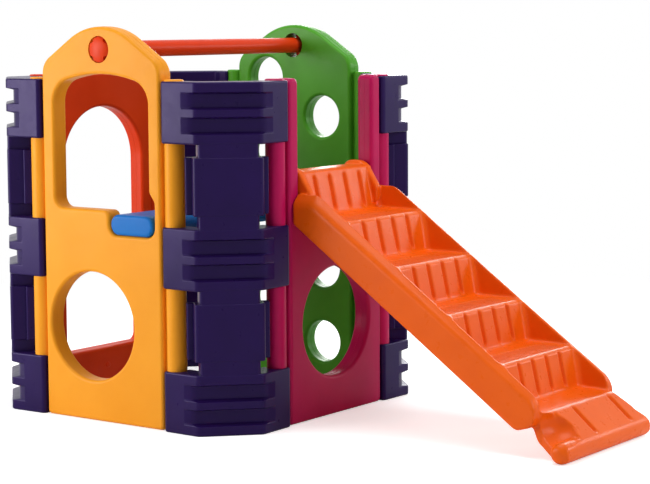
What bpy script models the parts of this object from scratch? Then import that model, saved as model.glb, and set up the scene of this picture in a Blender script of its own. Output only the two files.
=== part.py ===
"""An eight-sided climbing tower with a stepped ramp, a crossbar and a seat plank, all hollow mouldings.

Metres, +Z up. Four wide panels face -Y (window), +X (stair), +Y (climbing) and -X (door), and four
corner panels clip over the round columns at the wide panels' sides. The ramp hooks over the stair
panel's sill and runs out along +X. Shapes are drawn about the tower's own axis, and the assembly empty
then moves everything so that the origin is under the middle of the whole object.
"""
import bpy
import bmesh
from math import atan2, ceil, cos, hypot, pi, radians, sin, sqrt, tan
from mathutils import Matrix, Vector

for thing in list(bpy.data.objects):
    bpy.data.objects.remove(thing, do_unlink=True)

# Tower: the height of the corner panels, and the wide panels' half width and thickness
tower_height = 1.050
panel_thickness = 0.059
slab_half_width = 0.240
wall = 0.0045
edge_round = 0.006
base_round = 0.012
gap = 0.0004

# Round columns that stand beside each wide panel, joined to its sides by a neck
column_radius = 0.031
column_stand_out = 0.0035
column_offset = 0.0335
column_rise = 0.005
column_sides = 16
neck_width = 0.028
neck_end = 0.006

# Crowned head of the window and climbing panels, and the square head of the other two
eave_above_tower = 0.049
gable_rise = 0.157
eave_round = 0.052
gable_straight = 0.1112
flat_head_rise = 0.0055
flat_head_round = 0.020

# Window panel openings
window_jamb = 0.050
window_sill = 0.655
window_head = 0.065
window_rise = 0.052
window_sill_round = 0.034
window_shoulder_round = 0.075
window_arch_straight = 0.0023
crawl_hole_radius = 0.169
crawl_hole_height = 0.294
crawl_hole_margin = 0.024

# Seat plank, the notch in the window panel and the slot in the climbing panel that hold it
plank_width = 0.170
plank_height = 0.063
plank_margin = 0.0335
plank_base = 0.5815
plank_side_clearance = 0.004
plank_top_clearance = 0.006
notch_round = 0.030
notch_lip_round = 0.022
notch_side_rise = 0.032
notch_side_top = 0.060
notch_side_round = 0.020

# Stair panel openings
doorway_jamb = 0.048
sill_above_first_nose = 0.018
doorway_round = 0.035
stair_hole_radius = 0.172

# Door panel opening
door_jamb = 0.051
door_sill = 0.122
door_head = 0.110
door_arch_height = 0.180
door_sill_round = 0.025

# Climbing panel: two staggered columns of foot holes, seen from inside the tower
foot_hole_radius = 0.070
foot_hole_margin = 0.051
foot_hole_head = 0.068
hole_above_slot = 0.2515
right_hole_start = 0.131
left_hole_start = 0.260

# Crossbar between the two crowned panels
bar_above_eave = 0.043
bar_radius = 0.0255
bar_wall = 0.0030
bar_hole_radius = 0.041
bar_cap_clearance = 0.0010
bar_cap_thickness = 0.014
bar_spigot_length = 0.050
bar_dome_rise = 0.007
bar_lobe_notch_radius = 0.009

# Corner panels
flank_gap = 0.0055
flank_stand_out = 0.0074
corner_stand_out = 0.011
flank_width = 0.1376
corner_face_width = 0.200
corner_thickness = 0.082
corner_round = 0.022
clip_clearance = 0.001
clip_lip = 0.009
clip_past_column = 0.013
clip_run = 0.070
clip_round = 0.014
inner_half_width = 0.079
band_height = 0.184
band_edge = 0.005
rib_height = 0.033
recess_height = 0.045
recess_depth = 0.022
waist_half_width = 0.090
shoulder_half_width = 0.105
flange_half_width = 0.124
shoulder_depth = 0.050
waist_notch = 0.038
waist_round = 0.010

# Ramp
step_count = 4
step_rise = 0.126
step_run = 0.1815
riser_lean = 0.029
tread_fall = 0.004
first_nose_reach = 0.1815
last_rise = 0.123
ramp_side_clearance = 0.003
ramp_side_wall = 0.044
side_wall_lap = 0.006
ramp_clearance = 0.002
sill_clearance = 0.003
doorway_clearance = 0.0024
rim_above_nose = 0.004
rim_top_above_nose = 0.074
rim_shoulder_drop = 0.026
deck_depth = 0.0371
underside_recess = 0.004
end_past_last_nose = 0.1205
ramp_end_base = 0.093
side_end_run = 0.063
underside_end_run = 0.020
lip_past_end = 0.019
lip_height = 0.131
roll_past_lip = 0.070
roll_radius = 0.030
roll_half_length = 0.287
foot_top_half_width = 0.1995
foot_flare = 0.52
foot_back_height = 0.087
hook_above_sill = 0.123
hook_depth = 0.060
hook_leg = 0.035
leg_round = 0.012
slot_round = 0.006
nose_round = 0.007
riser_foot_round = 0.008
hook_round = 0.024
cheek_width = 0.030
cheek_rise = 0.012
cheek_inset = 0.001
rib_groove_count = 5
rib_groove_pitch = 0.078
rib_groove_width = 0.012
rib_groove_depth = 0.005
foot_groove_offsets = (-0.163, -0.047, 0.163)
foot_groove_width = 0.010
foot_groove_depth = 0.005

# Vent holes of the hollow mouldings and the plugs that close them
vent_radius = 0.0063
vent_clearance = 0.0003
vent_head_radius = 0.010
vent_head_thickness = 0.0025
vent_stem_past_wall = 0.004
vent_height = 0.060
ramp_vent_reach = 0.2815

# Sizes that follow from those above. A reach is measured from the tower's axis
flank_start = slab_half_width + flank_gap
corner_vertex = flank_start + flank_width
corner_reach = corner_vertex + corner_face_width / sqrt(2)
face_reach = corner_reach - corner_stand_out
inner_face = face_reach - panel_thickness
column_lateral = slab_half_width + column_offset
column_depth = face_reach + column_stand_out - column_radius
column_height = tower_height + column_rise
eave = tower_height + eave_above_tower
flat_head = tower_height + flat_head_rise
bar_height = eave + bar_above_eave
corner_normal = (corner_reach + corner_vertex) / sqrt(2)
corner_back = corner_normal - corner_thickness
flank_reach = face_reach + flank_stand_out
plank_centre = slab_half_width - plank_margin - plank_width / 2
slope = step_rise / step_run
side_depth = step_rise + rim_above_nose - tread_fall - slope * riser_lean + deck_depth
ramp_start = face_reach + ramp_clearance
first_nose = (face_reach + first_nose_reach, lip_height + last_rise + (step_count - 1) * step_rise)
doorway_half_width = slab_half_width - doorway_jamb
doorway_sill = first_nose[1] + sill_above_first_nose
ramp_half_width = doorway_half_width - ramp_side_clearance
rim_top = first_nose[1] + rim_top_above_nose
rim_end = first_nose[0] + (step_count - 1) * step_run + end_past_last_nose
lip_x = rim_end + lip_past_end
roll_x = lip_x + roll_past_lip
hook_top = doorway_sill + hook_above_sill

# Outlines: lists of (x, y) points that run anticlockwise


def circle(x, y, radius, sides):
    return [(x + radius * cos(2 * pi * k / sides), y + radius * sin(2 * pi * k / sides)) for k in range(sides)]


def rounded(corners, turn_per_point=radians(20)):
    """Turns corners (x, y, radius) into an outline whose corners are arcs."""
    points = []
    for index, (x, y, radius) in enumerate(corners):
        here = Vector((x, y))
        back = (Vector(corners[index - 1][:2]) - here).normalized()
        ahead = (Vector(corners[(index + 1) % len(corners)][:2]) - here).normalized()
        if radius == 0:
            points.append((x, y))
            continue
        half = back.angle(ahead) / 2
        middle = here + (back + ahead).normalized() * radius / sin(half)
        start = here + back * radius / tan(half) - middle
        sweep = pi - 2 * half
        if back.x * ahead.y - back.y * ahead.x > 0:
            sweep = -sweep
        steps = max(1, ceil(abs(sweep) / turn_per_point - 0.01))
        for step in range(steps + 1):
            spoke = Matrix.Rotation(sweep * step / steps, 2) @ start
            points.append(tuple(middle + spoke))
    return points


def arch_round(half_width, rise, shoulder_round, straight):
    """The radius of an arch's top, from the straight length left between it and each shoulder."""
    incline = atan2(rise, half_width)
    shoulder = shoulder_round * tan((pi / 2 - incline) / 2)
    return (hypot(half_width, rise) - shoulder - straight) / tan(incline)


def flat(corners):
    """The corners without their radii."""
    return [corner[:2] for corner in corners]


def inset(outline, distance):
    """Moves every side of an outline inwards; a negative distance moves it outwards."""
    moved = []
    count = len(outline)
    for index in range(count):
        here = Vector(outline[index])
        along_in = (here - Vector(outline[index - 1])).normalized()
        along_out = (Vector(outline[(index + 1) % count]) - here).normalized()
        normal_in = Vector((-along_in.y, along_in.x))
        normal_out = Vector((-along_out.y, along_out.x))
        mitre = (normal_in + normal_out) / (1 + normal_in.dot(normal_out))
        moved.append(tuple(here + mitre * distance))
    return moved


# Solids


def extruded(outer, holes, low, high, edge, place):
    """A plate between two heights, with holes, edges bevelled by edge, and then put in its place."""
    shape = bmesh.new()
    levels = [(low, 0.0), (high, 0.0)]
    if edge:
        levels = [(low, edge), (low + edge, 0.0), (high - edge, 0.0), (high, edge)]
    loops = [(outer, 1)] + [(hole, -1) for hole in holes]
    rings = []
    for height, distance in levels:
        ring = []
        for outline, inward in loops:
            points = inset(outline, distance * inward) if distance else outline
            ring.append([shape.verts.new((x, y, height)) for x, y in points])
        rings.append(ring)
    for lower, upper in zip(rings, rings[1:]):
        for below, above in zip(lower, upper):
            for index in range(len(below)):
                after = (index + 1) % len(below)
                shape.faces.new((below[index], below[after], above[after], above[index]))
    for ring in (rings[0], rings[-1]):
        ends = []
        for loop in ring:
            ends += [shape.edges.get((loop[k - 1], loop[k])) for k in range(len(loop))]
        bmesh.ops.triangle_fill(shape, use_beauty=True, use_dissolve=False, edges=ends)
    bmesh.ops.recalc_face_normals(shape, faces=shape.faces[:])
    bmesh.ops.transform(shape, matrix=place, verts=shape.verts[:])
    return as_object("solid", shape)


def turned(profile, sides, place):
    """A closed solid of revolution: profile points are (radius, height), both ends on the axis."""
    shape = bmesh.new()
    verts = [shape.verts.new((radius, 0.0, height)) for radius, height in profile]
    edges = [shape.edges.new(pair) for pair in zip(verts, verts[1:])]
    bmesh.ops.spin(
        shape, geom=verts + edges, axis=(0, 0, 1), cent=(0, 0, 0), angle=2 * pi, steps=sides, use_merge=True)
    bmesh.ops.remove_doubles(shape, verts=shape.verts[:], dist=1e-6)
    bmesh.ops.recalc_face_normals(shape, faces=shape.faces[:])
    bmesh.ops.transform(shape, matrix=place, verts=shape.verts[:])
    return as_object("solid", shape)


def as_object(name, shape):
    mesh = bpy.data.meshes.new(name)
    shape.to_mesh(mesh)
    shape.free()
    thing = bpy.data.objects.new(name, mesh)
    bpy.context.collection.objects.link(thing)
    return thing


def block(low, high):
    corners = [(low[0], low[1]), (high[0], low[1]), (high[0], high[1]), (low[0], high[1])]
    return extruded(corners, [], low[2], high[2], 0, Matrix())


def combine(target, operation, tools):
    """Joins or cuts the target with each tool in turn, and then drops the tools."""
    for tool in tools:
        step = target.modifiers.new(operation.title(), "BOOLEAN")
        step.operation = operation
        step.solver = "EXACT"
        step.object = tool
        tool.hide_render = True
        tool.display_type = "WIRE"
    bpy.context.view_layer.update()
    graph = bpy.context.evaluated_depsgraph_get()
    mesh = bpy.data.meshes.new_from_object(target.evaluated_get(graph))
    target.modifiers.clear()
    target.data = mesh
    for tool in tools:
        bpy.data.objects.remove(tool, do_unlink=True)
    return target


# Finished pieces

assembly = bpy.data.objects.new("playset", None)
bpy.context.collection.objects.link(assembly)
materials = {}


def plastic(name, colour, roughness=0.42):
    if name not in materials:
        material = bpy.data.materials.new(name)
        material.use_nodes = True
        shader = material.node_tree.nodes["Principled BSDF"]
        shader.inputs["Base Color"].default_value = (*colour, 1.0)
        shader.inputs["Roughness"].default_value = roughness
        shader.inputs["Metallic"].default_value = 0.0
        material.diffuse_color = (*colour, 1.0)
        materials[name] = material
    return materials[name]


yellow = plastic("yellow_polyethylene", (0.90, 0.40, 0.04))
magenta = plastic("magenta_polyethylene", (0.42, 0.01, 0.10))
green = plastic("green_polyethylene", (0.08, 0.27, 0.02))
red = plastic("red_polyethylene", (0.55, 0.03, 0.01))
indigo = plastic("indigo_polyethylene", (0.04, 0.025, 0.14))
orange = plastic("orange_polyethylene", (0.80, 0.11, 0.01))
blue = plastic("blue_polyethylene", (0.03, 0.23, 0.58))


def finish(thing, name, material, turn=0.0):
    """Names a piece, gives it its plastic, turns it about the tower's axis and hangs it on the assembly."""
    thing.name = name
    thing.data.materials.clear()
    thing.data.materials.append(material)
    for face in thing.data.polygons:
        face.material_index = 0
    thing.data.shade_smooth()
    thing.data.set_sharp_from_angle(angle=radians(30))
    thing.rotation_euler = (0, 0, turn)
    thing.parent = assembly
    return thing


# Local x runs along a panel, local y up it and local z from its inner face to its outer face
on_panel = Matrix.Translation((0, -inner_face, 0)) @ Matrix.Rotation(radians(90), 4, "X")
# Local x runs out along the ramp, local y up and local z across it
on_ramp = Matrix.Rotation(radians(90), 4, "X")


def vent_cutter(place):
    return turned([(0, -wall), (vent_radius, -wall), (vent_radius, 2 * wall), (0, 2 * wall)], 10, place)


def vent_plug(name, place, material, turn=0.0):
    """A push-in plug. Its place has z = 0 on the moulding's skin and +z into the moulding."""
    stem = vent_radius - vent_clearance
    reach = wall + vent_stem_past_wall
    profile = [
        (0, -vent_head_thickness - gap), (vent_head_radius * 0.8, -vent_head_thickness - gap),
        (vent_head_radius, -vent_head_thickness * 0.5 - gap), (vent_head_radius, -gap), (stem, -gap),
        (stem, reach * 0.7), (stem * 0.8, reach), (0, reach)]
    return finish(turned(profile, 10, place), name, material, turn)


# Wide panels


def column(side):
    """The round column at one side of a wide panel, and its hollow."""
    place = Matrix.Translation((side * column_lateral, -column_depth, 0))
    outer = extruded(circle(0, 0, column_radius, column_sides), [], 0, column_height, edge_round / 2, place)
    core = extruded(circle(0, 0, column_radius - wall, column_sides), [], wall, column_height - wall, 0, place)
    return outer, core


def neck(side, skin):
    """The neck between the slab and a column, or its hollow when skin is the wall's thickness."""
    near = side * (slab_half_width - 3 * wall)
    far = side * column_lateral
    half = neck_width / 2 - skin
    low = (min(near, far), -column_depth - half, neck_end + skin)
    high = (max(near, far), -column_depth + half, column_height - neck_end - skin)
    return block(low, high)


def wide_panel(name, outline, openings, material, turn):
    panel = extruded(outline, openings, 0, panel_thickness, edge_round, on_panel)
    left, left_core = column(-1)
    right, right_core = column(1)
    combine(panel, "UNION", [left, right, neck(-1, 0), neck(1, 0)])
    hollow_openings = [inset(opening, -wall) for opening in openings]
    core = extruded(inset(outline, wall), hollow_openings, wall, panel_thickness - wall, 0, on_panel)
    combine(core, "UNION", [left_core, right_core, neck(-1, wall), neck(1, wall)])
    vent_place = on_panel @ Matrix.Translation((0, vent_height, 0))
    combine(panel, "DIFFERENCE", [core, vent_cutter(vent_place)])
    finish(panel, name, material, turn)
    vent_plug(name + "_vent_plug", vent_place, material, turn)


gable_round = arch_round(slab_half_width, gable_rise, eave_round, gable_straight)
crowned_outline = rounded([
    (-slab_half_width, 0, base_round), (slab_half_width, 0, base_round), (slab_half_width, eave, eave_round),
    (0, eave + gable_rise, gable_round), (-slab_half_width, eave, eave_round)], radians(18))
bar_hole = circle(0, bar_height, bar_hole_radius, 20)

# The window's sill steps down into the notch that the seat plank lies in
notch_left = plank_centre - plank_width / 2 - plank_side_clearance
notch_right = plank_centre + plank_width / 2 + plank_side_clearance
notch_base = plank_base - gap
window_half_width = slab_half_width - window_jamb
window_shoulder = eave - window_head
window_arch_round = arch_round(window_half_width, window_rise, window_shoulder_round, window_arch_straight)
window = rounded([
    (-window_half_width, window_sill, window_sill_round), (notch_left, window_sill, notch_lip_round),
    (notch_left, notch_base, notch_round), (notch_right, notch_base, notch_round),
    (notch_right, window_sill + notch_side_rise, notch_side_round),
    (window_half_width, window_sill + notch_side_top, notch_side_round),
    (window_half_width, window_shoulder, window_shoulder_round),
    (0, window_shoulder + window_rise, window_arch_round),
    (-window_half_width, window_shoulder, window_shoulder_round)])
crawl_hole_offset = crawl_hole_margin + crawl_hole_radius - slab_half_width
crawl_hole = circle(crawl_hole_offset, crawl_hole_height, crawl_hole_radius, 28)
wide_panel("window_panel", crowned_outline, [window, crawl_hole, bar_hole], yellow, 0)

# The stair panel's doorway is open at the top, so the panel is a broad U
stair_outline = rounded([
    (-slab_half_width, 0, base_round), (slab_half_width, 0, base_round),
    (slab_half_width, flat_head, flat_head_round),
    (doorway_half_width, flat_head, flat_head_round * 0.9), (doorway_half_width, doorway_sill, doorway_round),
    (-doorway_half_width, doorway_sill, doorway_round), (-doorway_half_width, flat_head, flat_head_round * 0.9),
    (-slab_half_width, flat_head, flat_head_round)])
stair_hole = circle(0, crawl_hole_height, stair_hole_radius, 28)
wide_panel("stair_panel", stair_outline, [stair_hole], magenta, radians(90))

# Climbing panel: its own x runs the other way across the tower, so the sides swap
slot_head = plank_base + plank_height + plank_top_clearance
slot = rounded([
    (-notch_right, notch_base, notch_round), (-notch_left, notch_base, notch_round),
    (-notch_left, slot_head, notch_round), (-notch_right, slot_head, notch_round)])
foot_hole_side = slab_half_width - foot_hole_margin - foot_hole_radius
foot_hole_pitch = (eave - foot_hole_head - left_hole_start) / 3
right_holes = [right_hole_start, right_hole_start + foot_hole_pitch, slot_head + hole_above_slot]
left_holes = [left_hole_start + foot_hole_pitch * k for k in range(4)]
foot_holes = [circle(-foot_hole_side, height, foot_hole_radius, 16) for height in right_holes]
foot_holes += [circle(foot_hole_side, height, foot_hole_radius, 16) for height in left_holes]
wide_panel("climbing_panel", crowned_outline, [slot, bar_hole] + foot_holes, green, radians(180))

door_outline = rounded([
    (-slab_half_width, 0, base_round), (slab_half_width, 0, base_round),
    (slab_half_width, flat_head, flat_head_round * 2),
    (-slab_half_width, flat_head, flat_head_round * 2)])
door_half_width = slab_half_width - door_jamb
door_top = tower_height - door_head
# Two arcs on each side make the arch: they meet halfway along the chord between their corners
crown_half_width = door_half_width * (sqrt(2) - 1)
door_shoulder = door_top - door_arch_height * (2 - sqrt(2))
arch_incline = atan2(door_top - door_shoulder, door_half_width - crown_half_width)
arch_tangent = 0.49 * hypot(door_top - door_shoulder, door_half_width - crown_half_width)
door_shoulder_round = arch_tangent / tan((pi / 2 - arch_incline) / 2)
door_crown_round = arch_tangent / tan(arch_incline / 2)
door = rounded([
    (-door_half_width, door_sill, door_sill_round), (door_half_width, door_sill, door_sill_round),
    (door_half_width, door_shoulder, door_shoulder_round), (crown_half_width, door_top, door_crown_round),
    (-crown_half_width, door_top, door_crown_round), (-door_half_width, door_shoulder, door_shoulder_round)])
wide_panel("door_panel", door_outline, [door], red, radians(270))

# Corner panels, drawn for the corner between -Y and +X


def diagonal(across, outward):
    """A plan point from its distance across the corner face and its distance out from the axis."""
    return ((across + outward) / sqrt(2), (across - outward) / sqrt(2))


def mirrored(points):
    """The same plan points on the other side of the corner, in the order that closes the outline."""
    return [(-y, -x) for x, y in reversed(points)]


def flank_y(x):
    share = (x - flank_start) / (corner_vertex - flank_start)
    return -(flank_reach + (corner_reach - flank_reach) * share)


clip_back = column_depth - column_radius - clip_lip
# The clip's outer side reaches round the column to the neck, and its inner side just past the column's middle
lip_end = column_lateral + clip_past_column
band_near = [
    (lip_end, -clip_back), (lip_end, -column_depth), (flank_start, -column_depth), (flank_start, -flank_reach),
    (corner_vertex, -corner_reach)]
band_inner = [diagonal(-inner_half_width, corner_back), (flank_start + clip_run, -clip_back)]
band_corners = band_near + mirrored(band_near) + mirrored(band_inner) + band_inner
near_rounds = (0.005, 0, 0, clip_round, corner_round)
band_rounds = near_rounds + near_rounds[::-1] + (0.008, 0.010, 0.010, 0.008)
band_outline = rounded([(*point, r) for point, r in zip(band_corners, band_rounds)], radians(45))

core_start = column_lateral + column_radius + clip_clearance + 1.5 * wall
recess_share = (flank_reach - corner_reach) / (corner_vertex - flank_start)
recess_run = recess_depth * sqrt(2) / (1 - recess_share)
recess_x = corner_vertex - recess_run
core_near = [(core_start, -clip_back - 0.004), (core_start, flank_y(core_start)), (recess_x, flank_y(recess_x))]
core_inner = [diagonal(-inner_half_width, corner_back)]
band_core_outline = inset(core_near + mirrored(core_near) + mirrored(core_inner) + core_inner, wall)

band_starts = [k * (tower_height - band_height) / 2 for k in range(3)]


def across_corner(half_width, back, front, radius):
    corners = [(-half_width, back), (-half_width, front), (half_width, front), (half_width, back)]
    return rounded([(*diagonal(*corner), radius) for corner in corners], radians(45))


def corner_moulding():
    waist = across_corner(waist_half_width, corner_back + 0.002, corner_normal - 0.001, waist_round)
    body = extruded(waist, [], band_edge, tower_height - band_edge, 0, Matrix())
    flange = across_corner(flange_half_width, corner_back + 0.003, corner_normal - shoulder_depth, 0.004)
    shoulder = across_corner(shoulder_half_width, corner_back + 0.006, corner_normal, waist_round)
    added = [extruded(band_outline, [], z, z + band_height, band_edge, Matrix()) for z in band_starts]
    for low, high in zip(band_starts, band_starts[1:]):
        start = low + band_height + waist_notch
        stop = high - waist_notch
        added.append(extruded(shoulder, [], start, stop, band_edge / 2, Matrix()))
        added.append(extruded(flange, [], start, stop, band_edge / 2, Matrix()))
    combine(body, "UNION", added)
    waist_core = across_corner(
        waist_half_width - wall, corner_back + 1.6 * wall, corner_normal - recess_depth - 1.4 * wall, 0)
    core = extruded(waist_core, [], 2 * wall, tower_height - 2 * wall, 0, Matrix())
    cores = [extruded(band_core_outline, [], z + wall, z + band_height - wall, 0, Matrix()) for z in band_starts]
    combine(core, "UNION", cores)
    cut = [core, vent_cutter(corner_vent)]
    reach = corner_face_width
    recess = [diagonal(-reach, corner_normal - recess_depth), diagonal(-reach, corner_normal + reach),
              diagonal(reach, corner_normal + reach), diagonal(reach, corner_normal - recess_depth)]
    for z in band_starts:
        for start in (z + rib_height, z + band_height - rib_height - recess_height):
            cut.append(extruded(recess, [], start, start + recess_height, 0, Matrix()))
    for x, y in ((column_lateral, -column_depth), (column_depth, -column_lateral)):
        bore = circle(x, y, column_radius + clip_clearance, column_sides)
        cut.append(extruded(bore, [], -wall, column_height + wall, 0, Matrix()))
    return combine(body, "DIFFERENCE", cut)


# The vent is in the inner face, halfway up the lowest band
vent_point = diagonal(0, corner_back)
corner_vent = Matrix.Translation((*vent_point, band_height / 2)) @ Vector((0, 0, 1)).rotation_difference(
    Vector((1, -1, 0))).to_matrix().to_4x4()

corner_names = ("front_right", "back_right", "back_left", "front_left")
corner_mesh = corner_moulding()
for quarter, corner_name in enumerate(corner_names):
    copy = bpy.data.objects.new("solid", corner_mesh.data.copy())
    bpy.context.collection.objects.link(copy)
    finish(copy, "corner_panel_" + corner_name, indigo, radians(90) * quarter)
    plug_name = "corner_panel_" + corner_name + "_vent_plug"
    vent_plug(plug_name, corner_vent, indigo, radians(90) * quarter)
bpy.data.objects.remove(corner_mesh, do_unlink=True)

# Seat plank: a flat tube with round sides, flush with both panels' outer faces

plank_round = plank_height * 0.49
half = plank_width / 2
plank_outline = rounded([
    (plank_centre - half, plank_base, plank_round), (plank_centre + half, plank_base, plank_round),
    (plank_centre + half, plank_base + plank_height, plank_round),
    (plank_centre - half, plank_base + plank_height, plank_round)], radians(20))
plank = extruded(plank_outline, [], -face_reach, face_reach, 0.004, on_ramp)
plank_core = extruded(inset(plank_outline, wall), [], wall - face_reach, face_reach - wall, 0, on_ramp)
plank_vent = Matrix.Translation((plank_centre, 0, plank_base))
combine(plank, "DIFFERENCE", [plank_core, vent_cutter(plank_vent)])
finish(plank, "seat_plank", blue)
vent_plug("seat_plank_vent_plug", plank_vent, blue)

# Crossbar: a tube through both crowned panels, and a lobed cap that fills each panel's hole

cap_radius = bar_hole_radius - bar_cap_clearance
bar_inner = bar_radius - bar_wall
bar_end = face_reach - bar_cap_thickness
bar_axis = Matrix.Translation((0, 0, bar_height)) @ Matrix.Rotation(radians(90), 4, "X")
crossbar = extruded(
    circle(0, 0, bar_radius, 20), [circle(0, 0, bar_inner, 20)], -bar_end, bar_end, 0.0008, bar_axis)
finish(crossbar, "crossbar", red)
spigot = bar_inner - gap
cap_face = face_reach + bar_dome_rise
cap_profile = [
    (0, bar_end - bar_spigot_length), (spigot - 0.002, bar_end - bar_spigot_length),
    (spigot, bar_end - bar_spigot_length + 0.003), (spigot, bar_end + gap), (cap_radius - 0.001, bar_end + gap),
    (cap_radius, bar_end + gap + 0.001), (cap_radius, face_reach - 0.006),
    (cap_radius * 0.93, face_reach + 0.001), (cap_radius * 0.75, cap_face - 0.0025),
    (cap_radius * 0.4, cap_face - 0.0005), (0, cap_face)]
for cap_name, turn in (("crossbar_cap_front", 0), ("crossbar_cap_back", radians(180))):
    cap = turned(cap_profile, 20, bar_axis)
    notches = []
    for quarter in range(4):
        angle = radians(45 + 90 * quarter)
        centre = (cap_radius * cos(angle), cap_radius * sin(angle))
        notch = circle(*centre, bar_lobe_notch_radius, 8)
        notches.append(extruded(notch, [], bar_end - gap, cap_face + 0.010, 0, bar_axis))
    combine(cap, "DIFFERENCE", notches)
    finish(cap, cap_name, red, turn)

# Ramp: a stepped deck between two side walls, a hook over the stair panel's sill, and a rolled foot


def nose(k):
    return (first_nose[0] + k * step_run, first_nose[1] - k * step_rise)


def riser_foot(k):
    x, z = nose(k)
    return (x + riser_lean, z - step_rise + tread_fall)


def rim_z(x):
    return first_nose[1] + rim_above_nose - slope * (x - first_nose[0])


hook_back = inner_face - ramp_clearance - hook_leg
leg_front = inner_face - ramp_clearance
slot_top = doorway_sill + sill_clearance
leg_foot = doorway_sill - hook_depth
deck_bottom_start = rim_z(ramp_start) - side_depth + underside_recess
deck_end = rim_end - wall
deck_bottom_end = rim_z(deck_end) - side_depth + underside_recess
deck_low_x = deck_end - (ramp_end_base - deck_bottom_end) / slope - underside_end_run
deck = [
    (hook_back, leg_foot, leg_round), (leg_front, leg_foot, leg_round), (leg_front, slot_top, slot_round),
    (ramp_start, slot_top, slot_round), (ramp_start, deck_bottom_start, slot_round),
    (deck_low_x, rim_z(deck_low_x) - side_depth + underside_recess, 0.010),
    (deck_end, ramp_end_base + underside_recess, 0), (deck_end, lip_height - 0.004, 0)]
for k in range(step_count - 1, -2, -1):
    foot_point = riser_foot(k)
    lowest = k == step_count - 1
    deck.append((foot_point[0], lip_height + tread_fall if lowest else foot_point[1], riser_foot_round))
    if k >= 0:
        deck.append((*nose(k), nose_round))
deck += [(first_nose[0] - step_run, hook_top, hook_round), (hook_back, hook_top, hook_round * 1.4)]

# The first corners of the deck, up to the end of its underside
underside_corners = 7
# Openings between the deck's hollow and the side walls' hollows
link_size = 0.030
link_reach = ramp_half_width + 3 * wall

rim_flat_end = first_nose[0] + (first_nose[1] + rim_above_nose - rim_top) / slope
side_low_x = rim_end - side_end_run


def side_corners(drop):
    """The corners of a side wall, with its rim lowered by drop."""
    return [
        (ramp_start, rim_top - drop, 0.008), (ramp_start, rim_z(ramp_start) - side_depth, 0.025),
        (side_low_x, rim_z(side_low_x) - side_depth, 0.020), (rim_end, ramp_end_base, 0.010),
        (rim_end, rim_z(rim_end) - drop, 0.026), (rim_flat_end, rim_top - drop, 0.030)]


foot_corners = [
    (deck_end - 0.050, lip_height + 0.001, 0), (deck_end - 0.050, foot_back_height + 0.012, 0),
    (deck_end - 0.012, foot_back_height, 0.015), (deck_end + 0.010, 0.046, 0.040),
    (roll_x - roll_radius * 1.1, 0.008, 0.015), (roll_x - roll_radius * 0.3, 0.0015, 0),
    (roll_x + roll_radius, 0.0015, roll_radius * 0.75), (roll_x + roll_radius, 0.048, roll_radius * 0.5),
    (lip_x, lip_height, 0.016)]


def flare(thing, inward):
    """Widens the foot's sides towards its front."""
    for vert in thing.data.vertices:
        side = 1 if vert.co.y > 0 else -1
        vert.co.y = side * (foot_top_half_width + foot_flare * max(0.0, vert.co.x - lip_x) - inward)


def ramp_roll(radius, half_length):
    place = Matrix.Translation((roll_x, 0, roll_radius)) @ Matrix.Rotation(radians(90), 4, "X")
    return extruded(circle(0, 0, radius, 20), [], -half_length, half_length, radius * 0.35, place)


def across_ramp(outline, near, far, edge=0.0):
    """A prism between two distances across the ramp."""
    return extruded(outline, [], -max(near, far), -min(near, far), edge, on_ramp)


def side_wall(side):
    near = side * (ramp_half_width - side_wall_lap)
    far = side * (ramp_half_width + ramp_side_wall)
    return across_ramp(rounded(side_corners(0), radians(30)), near, far, 0.004)


def side_core(side):
    near = side * (ramp_half_width - side_wall_lap + wall)
    far = side * (ramp_half_width + ramp_side_wall - wall)
    return across_ramp(inset(flat(side_corners(rim_shoulder_drop)), wall), near, far)


def shoulder_cutter(side):
    """Slopes the top of a side wall down towards the outside."""
    outer = ramp_half_width + ramp_side_wall
    rise = 0.080
    section = [(outer + 0.010, -rim_shoulder_drop * 1.2), (outer + 0.010, rise), (ramp_half_width + 0.006, rise),
               (ramp_half_width + 0.006, 0.0), (outer, -rim_shoulder_drop)]
    cutter = bmesh.new()
    ends = []
    for x, z in ((ramp_start - 0.02, rim_top), (rim_flat_end, rim_top), (rim_end + 0.02, rim_z(rim_end + 0.02))):
        ends.append([cutter.verts.new((x, side * across, z + height)) for across, height in section])
    for first, second in zip(ends, ends[1:]):
        for index in range(len(section)):
            after = (index + 1) % len(section)
            cutter.faces.new((first[index], first[after], second[after], second[index]))
    cutter.faces.new(ends[0])
    cutter.faces.new(ends[-1])
    bmesh.ops.triangulate(cutter, faces=cutter.faces[:])
    bmesh.ops.recalc_face_normals(cutter, faces=cutter.faces[:])
    return as_object("solid", cutter)


def riser_grooves():
    """Upright grooves down each riser, from just under the nose to just above the tread."""
    grooves = []
    for k in range(-1, step_count):
        top = Vector((nose(k)[0], 0, nose(k)[1]))
        bottom_z = lip_height + tread_fall if k == step_count - 1 else riser_foot(k)[1]
        bottom = Vector((riser_foot(k)[0], 0, bottom_z))
        along = (bottom - top).normalized()
        outward = Vector((-along.z, 0, along.x))
        frame = Matrix((Vector((0, 1, 0)), outward, along)).transposed().to_4x4()
        length = (bottom - top).length
        for groove in range(rib_groove_count):
            across = (groove - (rib_groove_count - 1) / 2) * rib_groove_pitch
            place = Matrix.Translation(top + Vector((0, across, 0))) @ frame
            half_width = rib_groove_width / 2
            shape = [(-half_width, rib_groove_width), (-half_width * 0.5, -rib_groove_depth),
                     (half_width * 0.5, -rib_groove_depth), (half_width, rib_groove_width)]
            grooves.append(extruded(shape, [], 0.020, length - 0.012, 0, place))
    return grooves


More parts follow.
